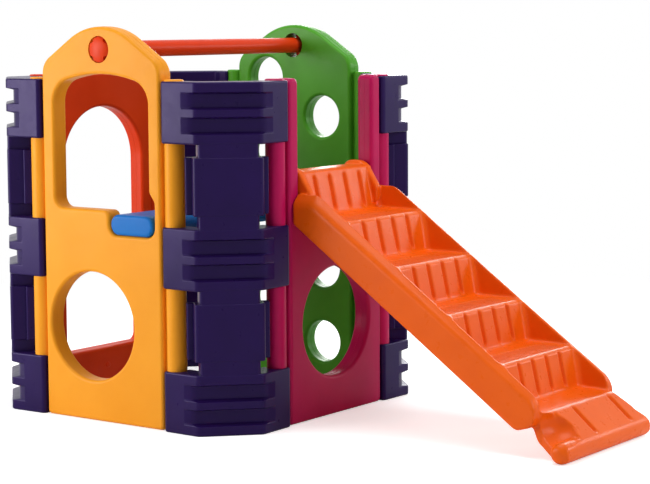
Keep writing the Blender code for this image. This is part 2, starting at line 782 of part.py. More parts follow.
def foot_grooves():
    """Grooves down the sloping front of the foot."""
    start = Vector((lip_x, 0, lip_height))
    stop = Vector((roll_x + roll_radius, 0, 0.048))
    along = (stop - start).normalized()
    outward = Vector((-along.z, 0, along.x))
    frame = Matrix((Vector((0, 1, 0)), outward, along)).transposed().to_4x4()
    half_width = foot_groove_width / 2
    shape = [(-half_width, foot_groove_width), (-half_width * 0.5, -foot_groove_depth),
             (half_width * 0.5, -foot_groove_depth), (half_width, foot_groove_width)]
    grooves = []
    for across in foot_groove_offsets:
        place = Matrix.Translation(start + Vector((0, across, 0))) @ frame
        grooves.append(extruded(shape, [], 0.006, (stop - start).length * 0.90, 0, place))
    return grooves


def hook_cheek(side):
    """The raised rim at each end of the hook."""
    outer = side * (ramp_half_width - cheek_inset)
    inner = side * (ramp_half_width - cheek_width)
    cheek = rounded([
        (hook_back + 0.006, leg_foot + 0.02, 0), (hook_back + hook_leg - 0.006, leg_foot + 0.02, 0),
        (hook_back + hook_leg - 0.006, slot_top + 0.02, 0), (first_nose[0] - step_run - 0.006, slot_top + 0.02, 0),
        (first_nose[0] - step_run - 0.006, hook_top - 0.010, 0.03), (inner_face, hook_top + cheek_rise, 0.03),
        (hook_back, hook_top + cheek_rise, 0.028)], radians(30))
    return across_ramp(cheek, inner, outer, 0.004)


def doorway_frame():
    """Cuts the hook to the doorway's rounded lower corners."""
    half_width = doorway_half_width - doorway_clearance
    base = doorway_sill + doorway_clearance
    corner = doorway_round - doorway_clearance
    head = hook_top + 4 * cheek_rise
    opening = rounded([(-half_width, base, corner), (half_width, base, corner), (half_width, head, 0),
                       (-half_width, head, 0)])
    frame = [(-slab_half_width, base - 0.02), (slab_half_width, base - 0.02), (slab_half_width, head + 0.02),
             (-slab_half_width, head + 0.02)]
    skim = ramp_clearance * 0.75
    place = Matrix.Rotation(radians(90), 4, "Z") @ on_panel
    return extruded(frame, [opening], -skim, panel_thickness + skim, 0, place)


def stepped_ramp():
    ramp = extruded(rounded(deck, radians(45)), [], -ramp_half_width, ramp_half_width, 0.002, on_ramp)
    foot = extruded(rounded(foot_corners, radians(30)), [], -1, 1, 0, on_ramp)
    flare(foot, 0)
    walls = []
    for side in (-1, 1):
        walls.append(combine(side_wall(side), "DIFFERENCE", [shoulder_cutter(side)]))
    cheeks = [hook_cheek(side) for side in (-1, 1)]
    combine(ramp, "UNION", walls + [foot, ramp_roll(roll_radius, roll_half_length)] + cheeks)
    combine(ramp, "DIFFERENCE", [doorway_frame()] + riser_grooves() + foot_grooves())
    return ramp


def ramp_core():
    """The ramp's hollow. The grooved side has a thicker skin than the underside."""
    skin = wall + rib_groove_depth
    thin = inset(flat(deck), wall)
    thick = inset(flat(deck), skin)
    core = across_ramp(thin[:underside_corners] + thick[underside_corners:], wall - ramp_half_width,
                       ramp_half_width - wall)
    foot_core = extruded(inset(flat(foot_corners), skin), [], -1, 1, 0, on_ramp)
    flare(foot_core, skin)
    parts = [foot_core, ramp_roll(roll_radius - wall, roll_half_length - wall)]
    for k in range(step_count - 1):
        x = nose(k)[0]
        low = rim_z(x) - side_depth + underside_recess + 4 * wall
        link = [(x, low), (x + link_size, low), (x + link_size, low + link_size), (x, low + link_size)]
        parts.append(across_ramp(link, -link_reach, link_reach))
    return combine(core, "UNION", parts + [side_core(side) for side in (-1, 1)])


ramp_vent_x = ramp_start + ramp_vent_reach
ramp_vent_z = rim_z(ramp_vent_x) - side_depth + underside_recess
ramp_vent = Matrix.Translation((ramp_vent_x, 0, ramp_vent_z)) @ Vector((0, 0, 1)).rotation_difference(
    Vector((slope, 0, 1))).to_matrix().to_4x4()
ramp = combine(stepped_ramp(), "DIFFERENCE", [ramp_core(), vent_cutter(ramp_vent)])
finish(ramp, "stepped_ramp", orange)
vent_plug("stepped_ramp_vent_plug", ramp_vent, orange)

# The origin goes under the middle of the whole object
bpy.context.view_layer.update()
reaches = [(thing.matrix_world @ vert.co).x for thing in assembly.children for vert in thing.data.vertices]
assembly.location.x = -(min(reaches) + max(reaches)) / 2
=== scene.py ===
from math import ceil, copysign, cos, pi, radians, sin, tan

import bmesh
import bpy
from mathutils import Matrix, Vector


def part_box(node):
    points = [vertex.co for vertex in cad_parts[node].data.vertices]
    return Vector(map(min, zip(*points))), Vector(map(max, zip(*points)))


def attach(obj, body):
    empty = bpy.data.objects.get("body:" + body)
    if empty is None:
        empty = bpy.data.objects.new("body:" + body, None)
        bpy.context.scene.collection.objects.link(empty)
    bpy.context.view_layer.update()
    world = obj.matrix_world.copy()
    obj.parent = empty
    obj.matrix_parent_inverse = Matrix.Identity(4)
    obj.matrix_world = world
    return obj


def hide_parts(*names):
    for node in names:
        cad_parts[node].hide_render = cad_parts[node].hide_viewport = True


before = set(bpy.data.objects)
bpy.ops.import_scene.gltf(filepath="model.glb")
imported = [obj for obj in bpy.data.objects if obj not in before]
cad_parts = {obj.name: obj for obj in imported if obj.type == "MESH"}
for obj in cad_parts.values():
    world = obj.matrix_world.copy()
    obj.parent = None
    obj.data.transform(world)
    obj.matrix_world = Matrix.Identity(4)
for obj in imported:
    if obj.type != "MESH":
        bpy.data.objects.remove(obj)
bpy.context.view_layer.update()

# Window panel
# The yellow front of the tower: one hollow rotomoulded polyethylene panel with a crowned head, an arched
# window whose sill steps down into a notch for the seat, a round crawl hole and a hole for the crossbar.
# A round column stands beside each edge on a narrow neck, and the corner panels clip over these columns.

panel_thickness = 0.059
panel_half_width = 0.240
panel_face = 0.5135
panel_middle = panel_face - panel_thickness / 2
panel_roll = 0.011
parting_line = 0.0005
base_round = 0.0135
eave_height = 1.099
gable_height = 1.256
column_radius = 0.030
column_side = 0.2737
column_depth = 0.4857
column_height = 1.055
column_roll = 0.006
neck_inner = 0.226
neck_outer = 0.262
neck_base = 0.008
neck_top = 1.047
neck_half_depth = 0.011
neck_roll = 0.003
bar_height = 1.142
bar_hole_radius = 0.041
crawl_hole_height = 0.294

low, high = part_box("window_panel")
tower_axis = (low.x + high.x) / 2


def drawn(shape, corners, steps=None):
    """Draws a closed outline at z = 0 through corners (x, y, radius), each rounded to its own radius."""
    ends = []
    for index, (x, y, radius) in enumerate(corners):
        here = Vector((x, y, 0))
        back = (Vector((*corners[index - 1][:2], 0)) - here).normalized()
        ahead = (Vector((*corners[(index + 1) % len(corners)][:2], 0)) - here).normalized()
        if not radius:
            point = shape.verts.new(here)
            ends.append((point, point))
            continue
        half = back.angle(ahead) / 2
        centre = here + (back + ahead).normalized() * radius / sin(half)
        turn = copysign(pi - 2 * half, -back.cross(ahead).z)
        first = shape.verts.new(here + back * radius / tan(half))
        count = steps or max(3, ceil(abs(turn) / radians(4)))
        arc = bmesh.ops.spin(shape, geom=[first], cent=centre, axis=(0, 0, 1), angle=turn, steps=count)
        ends.append((first, arc["geom_last"][0]))
    for (_, last), (first, _) in zip(ends, ends[1:] + ends[:1]):
        shape.edges.new((last, first))


def faces_of(geometry):
    return [part for part in geometry if isinstance(part, bmesh.types.BMFace)]


def rolled(shape, cap, radius, steps=5):
    """Rolls the edge of a flat cap over in a quarter circle that rises by the radius."""
    for step in range(steps):
        near = radians(90) * step / steps
        far = radians(90) * (step + 1) / steps
        bmesh.ops.inset_region(
            shape, faces=cap, thickness=radius * (cos(near) - cos(far)),
            depth=radius * (sin(far) - sin(near)), use_boundary=True, use_even_offset=True)


def plate(outline, holes, thickness, roll, parting=0.0):
    """A moulded plate about z = 0 with rolled edges. The parting line stands proud round its middle."""
    shape = bmesh.new()
    for corners in [outline] + holes:
        drawn(shape, corners)
    bmesh.ops.remove_doubles(shape, verts=shape.verts[:], dist=1e-4)
    sheet = faces_of(bmesh.ops.triangle_fill(shape, use_beauty=True, edges=shape.edges[:])["geom"])
    if sheet[0].normal.z < 0:
        bmesh.ops.reverse_faces(shape, faces=sheet)
    raised = bmesh.ops.extrude_face_region(shape, geom=sheet)["geom"]
    bmesh.ops.delete(shape, geom=sheet, context="FACES")
    cap = faces_of(raised)
    line = parting * 2
    lifted = [part for part in raised if isinstance(part, bmesh.types.BMVert)]
    bmesh.ops.translate(shape, verts=lifted, vec=(0, 0, line or thickness / 2 - roll))
    if parting:
        bmesh.ops.inset_region(
            shape, faces=cap, thickness=parting, depth=parting, use_boundary=True, use_even_offset=True)
        bmesh.ops.inset_region(
            shape, faces=cap, thickness=0, depth=thickness / 2 - roll - line - parting, use_boundary=True)
    rolled(shape, cap, roll)
    bmesh.ops.mirror(shape, geom=shape.verts[:] + shape.edges[:] + shape.faces[:], axis="Z", merge_dist=1e-5)
    bmesh.ops.recalc_face_normals(shape, faces=shape.faces[:])
    return shape


def rod(radius, length, roll=0.001, sides=64):
    """A round rod about z = 0 with rolled ends."""
    shape = bmesh.new()
    bmesh.ops.create_cone(
        shape, cap_ends=True, segments=sides, radius1=radius, radius2=radius, depth=length - 2 * roll)
    for cap in [face for face in shape.faces if len(face.verts) == sides]:
        rolled(shape, [cap], roll)
    return shape


def as_piece(name, shape, place):
    """Makes the shape an object at the origin, with its place in its mesh."""
    bmesh.ops.transform(shape, matrix=place, verts=shape.verts[:])
    mesh = bpy.data.meshes.new(name)
    shape.to_mesh(mesh)
    shape.free()
    piece = bpy.data.objects.new(name, mesh)
    bpy.context.collection.objects.link(piece)
    return piece


def settled(piece):
    """Applies the piece's modifiers to its mesh."""
    bpy.context.view_layer.update()
    graph = bpy.context.evaluated_depsgraph_get()
    mesh = bpy.data.meshes.new_from_object(piece.evaluated_get(graph))
    piece.modifiers.clear()
    piece.data = mesh
    return piece


def worked(piece, operation, tools):
    """Joins the tools to the piece, cuts them out of it or keeps what it shares with them, one by one."""
    for tool in tools:
        step = piece.modifiers.new(operation.title(), "BOOLEAN")
        step.operation = operation
        step.solver = "EXACT"
        step.object = tool
        settled(piece)
        bpy.data.objects.remove(tool, do_unlink=True)
    return piece


def colour(hexadecimal):
    """An sRGB hex value as linear RGBA."""
    channels = [int(hexadecimal[k:k + 2], 16) / 255 for k in (0, 2, 4)]
    return tuple(c / 12.92 if c <= 0.04045 else ((c + 0.055) / 1.055) ** 2.4 for c in channels) + (1.0,)


def added(tree, kind, inputs, **settings):
    """Adds a node with its settings, and sets or links its inputs by name or number."""
    made = tree.nodes.new(kind)
    for key, value in settings.items():
        setattr(made, key, value)
    for key, value in inputs.items():
        if isinstance(value, bpy.types.NodeSocket):
            tree.links.new(value, made.inputs[key])
        else:
            made.inputs[key].default_value = value
    return made


# Object coordinates are in metres, so a pattern's scale is one over its size
cloud_size = 0.143
ripple_size = 0.111
sheen_size = 0.025
peel_size = 0.004


def polyethylene(tint, body, shade, roughness, gleam, bloom="FFFFFF"):
    """Rotomoulded polyethylene: a satin skin with the soft orange peel of a sandblasted mould, slow ripples
    where the wall cooled unevenly, and pigment that drifts a little from place to place. The real peel is
    about 1 mm across and too fine to show, so it is drawn at 4 mm. Bloom tints the highlights."""
    finish = bpy.data.materials.new(tint + "_rotomoulded_polyethylene")
    finish.use_nodes = True
    tree = finish.node_tree
    shader = tree.nodes["Principled BSDF"]
    spots = added(tree, "ShaderNodeTexCoord", {}).outputs["Object"]
    drift = added(
        tree, "ShaderNodeTexNoise",
        {"Vector": spots, "Scale": 1 / cloud_size, "Detail": 3.0, "Roughness": 0.55})
    cloud = added(
        tree, "ShaderNodeMapRange", {"Value": drift.outputs["Fac"], "From Min": 0.3, "From Max": 0.7})
    pigment = added(
        tree, "ShaderNodeMix", {"Factor": cloud.outputs["Result"], "A": colour(body), "B": colour(shade)},
        data_type="RGBA")
    sheen = added(
        tree, "ShaderNodeTexNoise",
        {"Vector": spots, "Scale": 1 / sheen_size, "Detail": 4.0, "Roughness": 0.6})
    gloss = added(
        tree, "ShaderNodeMapRange",
        {"Value": sheen.outputs["Fac"], "From Min": 0.3, "From Max": 0.7, "To Min": roughness - 0.04,
         "To Max": roughness + 0.05})
    ripple = added(tree, "ShaderNodeTexNoise", {"Vector": spots, "Scale": 1 / ripple_size, "Detail": 1.0})
    peel = added(tree, "ShaderNodeTexNoise", {"Vector": spots, "Scale": 1 / peel_size, "Detail": 2.0})
    slow = added(
        tree, "ShaderNodeBump", {"Height": ripple.outputs["Fac"], "Strength": 0.5, "Distance": 0.0035})
    fine = added(
        tree, "ShaderNodeBump",
        {"Height": peel.outputs["Fac"], "Strength": 0.20, "Distance": 0.0003,
         "Normal": slow.outputs["Normal"]})
    tree.links.new(pigment.outputs["Result"], shader.inputs["Base Color"])
    tree.links.new(gloss.outputs["Result"], shader.inputs["Roughness"])
    tree.links.new(fine.outputs["Normal"], shader.inputs["Normal"])
    shader.inputs["IOR"].default_value = 1.50
    shader.inputs["Specular IOR Level"].default_value = gleam
    shader.inputs["Specular Tint"].default_value = colour(bloom)
    finish["slot"] = tint + "_polyethylene"
    return finish


def finished(piece, finish, body, node):
    """Smooths a moulding, gives it and its vent plug their plastic and lets it stand for its CAD node."""
    piece.data.materials.clear()
    piece.data.materials.append(finish)
    piece.data.shade_smooth()
    piece.data.set_sharp_from_angle(angle=radians(34))
    flats = piece.modifiers.new("Flats", "WEIGHTED_NORMAL")
    flats.keep_sharp = True
    flats.weight = 80
    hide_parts(node)
    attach(piece, body)
    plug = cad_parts.get(node + "_vent_plug")
    if plug:
        plug.data.materials.clear()
        plug.data.materials.append(finish)


def about_tower(turn):
    return Matrix.Translation((tower_axis, 0, 0)) @ Matrix.Rotation(turn, 4, "Z")


def upright(turn, depth):
    """Stands a flat drawing up to face -Y at its depth, and turns it about the tower's axis."""
    return about_tower(turn) @ Matrix.Translation((0, -depth, 0)) @ Matrix.Rotation(pi / 2, 4, "X")


def wide_panel(node, outline, holes, finish, turn, bores=()):
    """A slab with a column on a neck at each side, facing -Y and then turned about the tower's axis."""
    slab = plate(outline, holes, panel_thickness, panel_roll, parting_line)
    panel = as_piece(node + "_moulding", slab, upright(turn, panel_middle))
    neck_corners = (
        (neck_inner, neck_base), (neck_outer, neck_base), (neck_outer, neck_top), (neck_inner, neck_top))
    joined = []
    for side in (-1, 1):
        reach = [(side * x, z, 0) for x, z in neck_corners]
        neck = plate(reach[::side], [], 2 * neck_half_depth, neck_roll)
        joined.append(as_piece("neck", neck, upright(turn, column_depth)))
        foot = about_tower(turn) @ Matrix.Translation((side * column_side, -column_depth, column_height / 2))
        joined.append(as_piece("column", rod(column_radius, column_height, column_roll), foot))
    worked(panel, "UNION", joined)
    for height, radius in bores:
        place = upright(turn, panel_middle) @ Matrix.Translation((0, height, 0))
        worked(panel, "DIFFERENCE", [as_piece("bore", rod(radius, 2 * panel_thickness, sides=96), place)])
    finished(panel, finish, "tower", node)


def round_hole(x, y, radius):
    return [(x - radius, y - radius, radius), (x + radius, y - radius, radius),
            (x + radius, y + radius, radius), (x - radius, y + radius, radius)]


window_half_width = 0.190
window_sill = 0.655
window_shoulder = 1.034
window_crown = window_shoulder + 0.052
notch_left = 0.0325
notch_right = 0.2105
notch_base = 0.5811
notch_round = 0.030
window = [
    (-window_half_width, window_sill, 0.034), (notch_left, window_sill, 0.022),
    (notch_left, notch_base, notch_round), (notch_right, notch_base, notch_round),
    (notch_right, window_sill + 0.032, 0.020), (window_half_width, window_sill + 0.060, 0.020),
    (window_half_width, window_shoulder, 0.075), (0, window_crown, 0.505),
    (-window_half_width, window_shoulder, 0.075)]
window_hole_side = -0.046
window_hole_radius = 0.168
crowned = [
    (-panel_half_width, 0, base_round), (panel_half_width, 0, base_round),
    (panel_half_width, eave_height, 0.062), (0, gable_height, 0.228),
    (-panel_half_width, eave_height, 0.062)]
crawl_hole = round_hole(window_hole_side, crawl_hole_height, window_hole_radius)
bar_bore = [(bar_height, bar_hole_radius)]
yellow = polyethylene("yellow", "F09E26", "EC9820", 0.36, 0.12)
wide_panel("window_panel", crowned, [window, crawl_hole], yellow, 0, bar_bore)

# Climbing panel
# The green back of the tower: the same crowned panel, with seven staggered holes for feet and hands, a slot
# for the seat's far end and the crossbar's other hole. Its own x runs the other way across the tower.

slot_head = 0.6505
foot_hole_radius = 0.070
foot_hole_side = 0.119
foot_hole_pitch = 0.257
slot_row_start = 0.131
full_row_start = 0.260
slot = [
    (-notch_right, notch_base, notch_round), (-notch_left, notch_base, notch_round),
    (-notch_left, slot_head, notch_round), (-notch_right, slot_head, notch_round)]
# The slot takes the place of its row's third hole
foot_places = [(-foot_hole_side, slot_row_start + foot_hole_pitch * k) for k in (0, 1, 3)]
foot_places += [(foot_hole_side, full_row_start + foot_hole_pitch * k) for k in range(4)]
foot_holes = [round_hole(x, z, foot_hole_radius) for x, z in foot_places]
green = polyethylene("green", "50A028", "489622", 0.34, 0.16)
wide_panel("climbing_panel", crowned, [slot] + foot_holes, green, pi, bar_bore)

# Stair panel
# The magenta side that the ramp hooks on to: a broad U, open at the top down to the ramp's sill, with a
# round crawl hole under it. It is moulded like the others and has the same columns.

flat_head = 1.0555
sill_height = 0.650
opening_half_width = 0.192
stair_hole_radius = 0.172
broad_u = [
    (-panel_half_width, 0, base_round), (panel_half_width, 0, base_round),
    (panel_half_width, flat_head, 0.020), (opening_half_width, flat_head, 0.018),
    (opening_half_width, sill_height, 0.035), (-opening_half_width, sill_height, 0.035),
    (-opening_half_width, flat_head, 0.018), (-panel_half_width, flat_head, 0.020)]
magenta = polyethylene("magenta", "B81456", "AE1050", 0.34, 0.12)
crawl_hole = round_hole(0, crawl_hole_height, stair_hole_radius)
wide_panel("stair_panel", broad_u, [crawl_hole], magenta, pi / 2)

# Door panel
# The red side with a tall arched doorway down to a low step, also moulded with a column at each side. Its
# arch is made of two arcs a side, and only its inside shows through the window.

door_half_width = 0.189
door_sill = 0.122
door_head = 0.940
door_spring = door_head - 0.1054
door_crown_half_width = 0.0783
square_headed = [
    (-panel_half_width, 0, base_round), (panel_half_width, 0, base_round),
    (panel_half_width, flat_head, 0.040), (-panel_half_width, flat_head, 0.040)]
doorway = [
    (-door_half_width, door_sill, 0.025), (door_half_width, door_sill, 0.025),
    (door_half_width, door_spring, 0.178), (door_crown_half_width, door_head, 0.190),
    (-door_crown_half_width, door_head, 0.190), (-door_half_width, door_spring, 0.178)]
red = polyethylene("red", "DC3E14", "D43810", 0.32, 0.10)
wide_panel("door_panel", square_headed, [doorway], red, -pi / 2)

# Corner panels
# Four indigo mouldings clip over the columns and close the tower's corners. Each has three bands with two
# deep recesses between ribs, joined by a narrower waist with a broader shoulder plate half-way, so light
# shows past the waist above and below each shoulder. Drawn facing -Y and turned to each corner.

corner_face = 0.6418
corner_back = 0.5598
band_height = 0.184
band_starts = (0.0, 0.433, 0.866)
band_roll = 0.006
rib_height = 0.033
recess_height = 0.045
recess_slope = 0.007
recess_slope_steps = 7
clip_side = 0.1499
clip_depth = 0.5369
clip_radius = 0.0312
clip_overrun = 0.2
band_overlap = 0.020
waist_half_width = 0.090
waist_front = 0.0012 - corner_face
waist_back = -0.0022 - corner_back
shoulder_gap = 0.038
shoulder_half_width = 0.105
shoulder_back = -0.0061 - corner_back
shoulder_roll = 0.004
wing_half_width = 0.124
wing_front = 0.050 - corner_face
wing_back = -0.0034 - corner_back
wing_step = 0.001

rib_half = [
    (0.0985, -corner_face, 0.022), (0.1351, -0.6035, 0), (0.1379, -0.6006, 0), (0.1943, -0.5415, 0.014),
    (0.1698, -0.5170, 0), (0.1409, -0.5460, 0), (0.1128, -0.5180, 0.0075), (0.0923, -0.5385, 0.008),
    (0.0790, -corner_back, 0.010)]
recess_half = [(0.1090, -0.6183, 0.050)] + rib_half[1:]


def both_halves(half):
    """Completes the right half of an outline with its mirror image."""
    return half + [(-x, y, radius) for x, y, radius in reversed(half)]


def between(first, second, share):
    return [tuple(a + (b - a) * share for a, b in zip(*pair)) for pair in zip(first, second)]


def skinned(shape, loops):
    """Closes a solid through a row of edge loops, and returns its two end caps."""
    for lower, upper in zip(loops, loops[1:]):
        bmesh.ops.bridge_loops(shape, edges=lower + upper)
    return [bmesh.ops.contextual_create(shape, geom=loop)["faces"][0] for loop in (loops[0], loops[-1])]


def lofted(rings, roll=0.0):
    """A closed solid through a stack of outlines, each (height, corners), with both end caps rolled over."""
    shape = bmesh.new()
    loops = []
    for height, corners in rings:
        old_verts = set(shape.verts)
        old_edges = set(shape.edges)
        drawn(shape, corners, 6)
        new_verts = [vert for vert in shape.verts if vert not in old_verts]
        bmesh.ops.translate(shape, verts=new_verts, vec=(0, 0, height))
        loops.append([edge for edge in shape.edges if edge not in old_edges])
    caps = skinned(shape, loops)
    bmesh.ops.recalc_face_normals(shape, faces=shape.faces[:])
    if roll:
        for cap in caps:
            rolled(shape, [cap], roll)
    return shape


def band_rings(start):
    """The outlines up one band: rib, recess, rib, recess, rib, with soft slopes between them."""
    stop = start + band_height
    rings = [(start + band_roll, rib_half)]
    for foot in (start + rib_height, stop - rib_height - recess_height):
        for height, inwards in ((foot, True), (foot + recess_height, False)):
            for step in range(recess_slope_steps + 1):
                share = step / recess_slope_steps
                eased = share * share * (3 - 2 * share)
                depth = eased if inwards else 1 - eased
                level = height + recess_slope * (share - 0.5)
                rings.append((level, between(rib_half, recess_half, depth)))
    rings.append((stop - band_roll, rib_half))
    return [(height, both_halves(half)) for height, half in rings]


def block(half_width, front, back, base, top, corner_round, roll):
    """An upright block with rounded corners in plan."""
    plan = both_halves([(half_width, front, corner_round), (half_width, back, corner_round)])
    return as_piece("block", lofted([(base + roll, plan), (top - roll, plan)], roll), Matrix())


def corner_moulding():
    """One corner panel: three bands, with a waist and a winged shoulder plate between each pair of them."""
    top = band_starts[-1] + band_height
    bands = [as_piece("band", lofted(band_rings(start), band_roll), Matrix()) for start in band_starts]
    panel, joined = bands[0], bands[1:]
    for lower, upper in zip(band_starts, band_starts[1:]):
        foot = lower + band_height - band_overlap
        base = lower + band_height + shoulder_gap
        head = upper - shoulder_gap
        joined.append(block(waist_half_width, waist_front, waist_back, foot, upper + band_overlap, 0.010, 0))
        joined.append(block(
            shoulder_half_width, -corner_face, shoulder_back, base, head, 0.011, shoulder_roll))
        joined.append(block(
            wing_half_width, wing_front, wing_back, base + wing_step, head - wing_step, 0.005,
            shoulder_roll))
    worked(panel, "UNION", joined)
    clips = []
    for side in (-1, 1):
        place = Matrix.Translation((side * clip_side, -clip_depth, top / 2))
        clips.append(as_piece("clip", rod(clip_radius, top + clip_overrun), place))
    return worked(panel, "DIFFERENCE", clips)


indigo = polyethylene("indigo", "200C46", "1C0A3E", 0.31, 0.22, "D8C8FF")
pattern = corner_moulding()
for quarter, corner in enumerate(("front_right", "back_right", "back_left", "front_left")):
    shape = bmesh.new()
    shape.from_mesh(pattern.data)
    node = "corner_panel_" + corner
    panel = as_piece(node + "_moulding", shape, about_tower(radians(45 + 90 * quarter)))
    finished(panel, indigo, "tower", node)
bpy.data.objects.remove(pattern, do_unlink=True)

# Seat plank
# A blue hollow plank that lies in the window panel's notch and the climbing panel's slot, flush with both
# outer faces. Its sides are round and its ends are softly domed.

plank_left = 0.0365
plank_right = 0.2065
plank_base = 0.5815
plank_top = plank_base + 0.063
plank_round = 0.0305
plank_end_roll = 0.010
stadium = [
    (plank_left, plank_base, plank_round), (plank_right, plank_base, plank_round),
    (plank_right, plank_top, plank_round), (plank_left, plank_top, plank_round)]
blue = polyethylene("blue", "1670BE", "1268B6", 0.34, 0.12)
plank = as_piece("seat_plank_moulding", plate(stadium, [], 2 * panel_face, plank_end_roll), upright(0, 0))
finished(plank, blue, "plank", "seat_plank")

# Crossbar and caps
# A red tube passes through both crowned heads. At each end a domed cap with four lobes fills the panel's
# hole, and light shows through the notches between its lobes.

bar_radius = 0.0255
cap_radius = 0.040
cap_thickness = 0.014
cap_rise = 0.007
cap_edge = 0.006
cap_chamfer = 0.002
cap_gap = 0.0004
cap_steps = 8
cap_rim_round = 0.0015
notch_reach = 0.0405
notch_radius = 0.0092
bar_end = panel_face - cap_thickness
cap_base = bar_end + cap_gap


def spun(profile, sides=64):
    """A solid of revolution from a profile of (radius, height), closed where it meets the axis."""
    shape = bmesh.new()
    verts = [shape.verts.new((radius, 0, height)) for radius, height in profile]
    edges = [shape.edges.new(pair) for pair in zip(verts, verts[1:])]
    bmesh.ops.spin(
        shape, geom=verts + edges, axis=(0, 0, 1), cent=(0, 0, 0), angle=2 * pi, steps=sides, use_merge=True)
    bmesh.ops.remove_doubles(shape, verts=shape.verts[:], dist=1e-6)
    bmesh.ops.recalc_face_normals(shape, faces=shape.faces[:])
    return shape


def bar_axis(turn):
    """Lays a shape's z axis along the crossbar, towards the front or, turned by pi, towards the back."""
    return about_tower(turn) @ Matrix.Translation((0, 0, bar_height)) @ Matrix.Rotation(pi / 2, 4, "X")


bar = as_piece("crossbar_tube", rod(bar_radius, 2 * bar_end), bar_axis(0))
finished(bar, red, "bar", "crossbar")
cap_profile = [(0, cap_base), (cap_radius - cap_chamfer, cap_base), (cap_radius, cap_base + cap_chamfer)]
for step in range(cap_steps + 1):
    angle = radians(90) * step / cap_steps
    cap_profile.append((cap_radius * cos(angle), panel_face - cap_edge + (cap_rise + cap_edge) * sin(angle)))
for node, turn in (("crossbar_cap_front", 0), ("crossbar_cap_back", pi)):
    cap = as_piece(node + "_moulding", spun(cap_profile), bar_axis(turn))
    notches = []
    for quarter in range(4):
        around = Matrix.Rotation(radians(45 + 90 * quarter), 4, "Z")
        place = bar_axis(turn) @ around @ Matrix.Translation((notch_reach, 0, panel_face))
        notches.append(as_piece("notch", rod(notch_radius, 2 * cap_radius, sides=32), place))
    worked(cap, "DIFFERENCE", notches)
    rims = cap.modifiers.new("Rims", "BEVEL")
    rims.width = cap_rim_round
    rims.segments = 3
    rims.limit_method = "ANGLE"
    rims.angle_limit = radians(40)
    finished(cap, red, "bar", node)

# Stepped ramp
# One orange moulding: five risers with upright grooves, treads with a light nosing, two side walls whose
# rims slope down outwards, a hook over the stair panel's sill and a foot rolled over the ground. It is
# drawn in parts, which are then melted into one skin as soft as the real moulding.

step_rise = 0.126
step_run = 0.1815
slope = step_rise / step_run
rim_slope = slope * 1.014
first_nose = (0.695, 0.632)
last_step = 3
riser_lean = 0.029
tread_fall = 0.004
ramp_start = 0.5155
ramp_end = 1.360
end_round = 0.026
ramp_side = 0.233
side_depth = 0.1420
underside_turn = ramp_end - 0.063
underside_turn_reach = 0.012
toe_slope = 0.28
rim_top = 0.706
rim_above_nose = 0.003
rim_corner_reach = 0.016
rim_fall_start = 0.030
rim_fall_loss = 0.022
channel_half_width = 0.184
channel_depth = 0.004
channel_slope_width = 0.005
pocket_half_width = 0.201
pocket_draft = 0.12
pocket_overrun_up = 0.06
pocket_overrun_out = 0.08
riser_corner_round = 0.018
tread_corner_round = 0.008
lip = (1.379, 0.131)


def nose(k):
    return Vector((first_nose[0] + k * step_run, 0, first_nose[1] - k * step_rise))


def riser_foot(k):
    top = nose(k)
    base = lip[1] + tread_fall if k == last_step else top.z - step_rise + tread_fall
    return Vector((top.x + riser_lean, 0, base))


def rim(x):
    return first_nose[1] + rim_above_nose - rim_slope * (x - first_nose[0])


def eased_corner(x, middle, reach, before, after):
    """A line whose slope changes from before to after round a middle, over a reach each side."""
    start = middle - reach
    if x <= start:
        return before * (x - middle)
    if x >= middle + reach:
        return after * (x - middle)
    return before * (x - middle) + (after - before) * (x - start) ** 2 / (4 * reach)


def side_section(x):
    """The ramp's outline across, at x: a block whose rims curve down into its sides, rounded at its end."""
    flat_end = first_nose[0] + (first_nose[1] + rim_above_nose - rim_top) / rim_slope
    top = rim_top + eased_corner(x, flat_end, rim_corner_reach, 0.0, -rim_slope)
    base = rim(first_nose[0]) - slope * (underside_turn - first_nose[0]) - side_depth
    base += eased_corner(x, underside_turn, underside_turn_reach, -slope, toe_slope)
    beyond = max(0.0, x - (ramp_end - end_round))
    shrunk = end_round - (end_round ** 2 - beyond ** 2) ** 0.5
    top -= shrunk
    base += shrunk
    fall = rim_fall_start - rim_fall_loss * (x - ramp_start) / (ramp_end - ramp_start)
    return both_halves([
        (channel_half_width, base + channel_depth, 0), (channel_half_width + channel_slope_width, base, 0),
        (ramp_side, base, 0.008),
        (ramp_side, top - fall, max(0.018, 1.6 * fall)),
        (pocket_half_width + 0.002, top, 0.003)])


# Local x runs across, local y up and local z along the ramp
along_ramp = about_tower(0) @ Matrix(((0, 0, 1, 0), (1, 0, 0, 0), (0, 1, 0, 0), (0, 0, 0, 1)))
# The outlines lie closest where they change most
at_rim_corner = [0.578 + 0.004 * k for k in range(9)]
at_underside_turn = [1.285 + 0.004 * k for k in range(7)]
at_round_end = [ramp_end - end_round * (1 - sin(radians(10 * k))) for k in range(1, 9)]
stations = [
    ramp_start, 0.550, *at_rim_corner, 0.70, 0.85, 1.00, 1.15, 1.28, *at_underside_turn, *at_round_end,
    ramp_end - 0.0001]
ramp = as_piece("stepped_ramp_moulding", lofted([(x, side_section(x)) for x in stations]), along_ramp)
plan = [
    (ramp_start, -ramp_side, 0.012), (ramp_end, -ramp_side, 0.012), (ramp_end, ramp_side, 0.012),
    (ramp_start, ramp_side, 0.012)]
worked(ramp, "INTERSECT", [as_piece("plan", lofted([(0.02, plan), (0.80, plan)]), about_tower(0))])


def strung(shape, rows):
    """Closes a solid through rows of points that run round it, and returns the edges of each row."""
    loops = []
    for row in rows:
        verts = [shape.verts.new(point) for point in row]
        loops.append([shape.edges.new(pair) for pair in zip(verts, verts[1:] + verts[:1])])
    skinned(shape, loops)
    return loops


